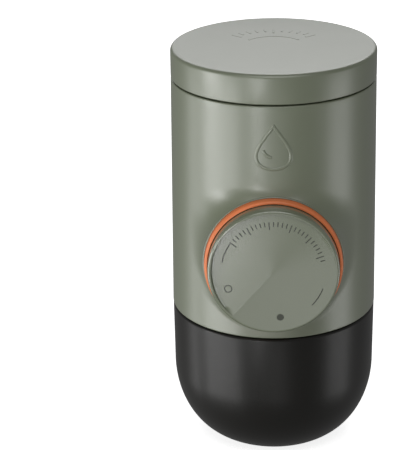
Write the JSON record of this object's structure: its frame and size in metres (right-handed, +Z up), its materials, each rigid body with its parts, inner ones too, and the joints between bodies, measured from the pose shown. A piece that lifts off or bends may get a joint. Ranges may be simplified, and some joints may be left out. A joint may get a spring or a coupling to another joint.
{
  "type": "handheld espresso maker",
  "caption": "Handheld manual espresso maker: round casing with a front pump knob, water tank under a flat lid, filter basket and spout inside a domed cup.",
  "frame": {"origin": "centre of the cup's flat foot, on the surface that the maker stands on", "axes": "+Z up along the body, -Y out of the pump knob, +X to the right seen from the knob's side"},
  "size_m": [0.0694, 0.0778, 0.1397],
  "materials": {
    "casing_plastic": "satin grey-green",
    "cup_plastic": "matte charcoal",
    "orange_trim": "satin orange",
    "inner_plastic": "fine matte black",
    "bearing_plastic": "smooth natural",
    "tank_plastic": "smooth pale grey",
    "steel": "brushed",
    "rubber": "soft matte"
  },
  "bodies": {
    "cup": {"drinking_cup": "cup_plastic"},
    "main_body": {"body_shell": "casing_plastic", "accent_ring": "orange_trim", "pump_barrel": "inner_plastic", "pump_cylinder": "steel", "rod_bush": "bearing_plastic", "cylinder_screws": "steel", "cylinder_gasket": "rubber", "cylinder_head": "inner_plastic", "head_screws": "steel", "inlet_valve": "rubber", "outlet_valve": "rubber", "suction_tube": "inner_plastic", "delivery_tube": "inner_plastic", "water_tank": "tank_plastic", "inlet_filter": "steel", "brew_head": "inner_plastic", "brew_screws": "steel", "cup_seal": "rubber", "shower_screen": "steel", "shower_screw": "steel", "brew_gasket": "rubber", "return_spring": "steel"},
    "lid": {"lid": "casing_plastic", "lid_plug": "inner_plastic", "lid_gasket": "rubber", "vent_valve": "rubber"},
    "plunger": {"guide_sleeve": "inner_plastic", "plunger_rod": "steel", "piston_head": "bearing_plastic", "piston_seal": "rubber", "piston_screw": "steel"},
    "knob": {"knob": "casing_plastic", "retainer_washer": "steel", "retainer_screw": "steel"},
    "outlet_head": {"outlet_head": "inner_plastic"},
    "filter_basket": {"filter_basket": "steel"}
  },
  "joints": [
    {"name": "body_lift", "type": "slide", "parent": "cup", "child": "main_body", "axis": [0, 0, 1], "range_m": [0, 0.12]},
    {"name": "lid_lift", "type": "slide", "parent": "main_body", "child": "lid", "axis": [0, 0, 1], "range_m": [0, 0.03]},
    {"name": "pump_stroke", "type": "slide", "parent": "main_body", "child": "plunger", "axis": [0, -1, 0], "range_m": [0, 0.018], "deforming": ["return_spring"]},
    {"name": "knob_turn", "type": "hinge", "parent": "plunger", "child": "knob", "pos_m": [0, -0.038, 0.0766], "axis": [0, -1, 0], "range_deg": [0, 60]},
    {"name": "outlet_drop", "type": "slide", "parent": "main_body", "child": "outlet_head", "axis": [0, 0, -1], "range_m": [0, 0.036]},
    {"name": "basket_rise", "type": "slide", "parent": "outlet_head", "child": "filter_basket", "axis": [0, 0, 1], "range_m": [0, 0.027]}
  ],
  "couplings": [
    {"joint": "outlet_drop", "follows": "body_lift", "ratio": 0.3},
    {"joint": "basket_rise", "follows": "body_lift", "ratio": 0.225}
  ]
}
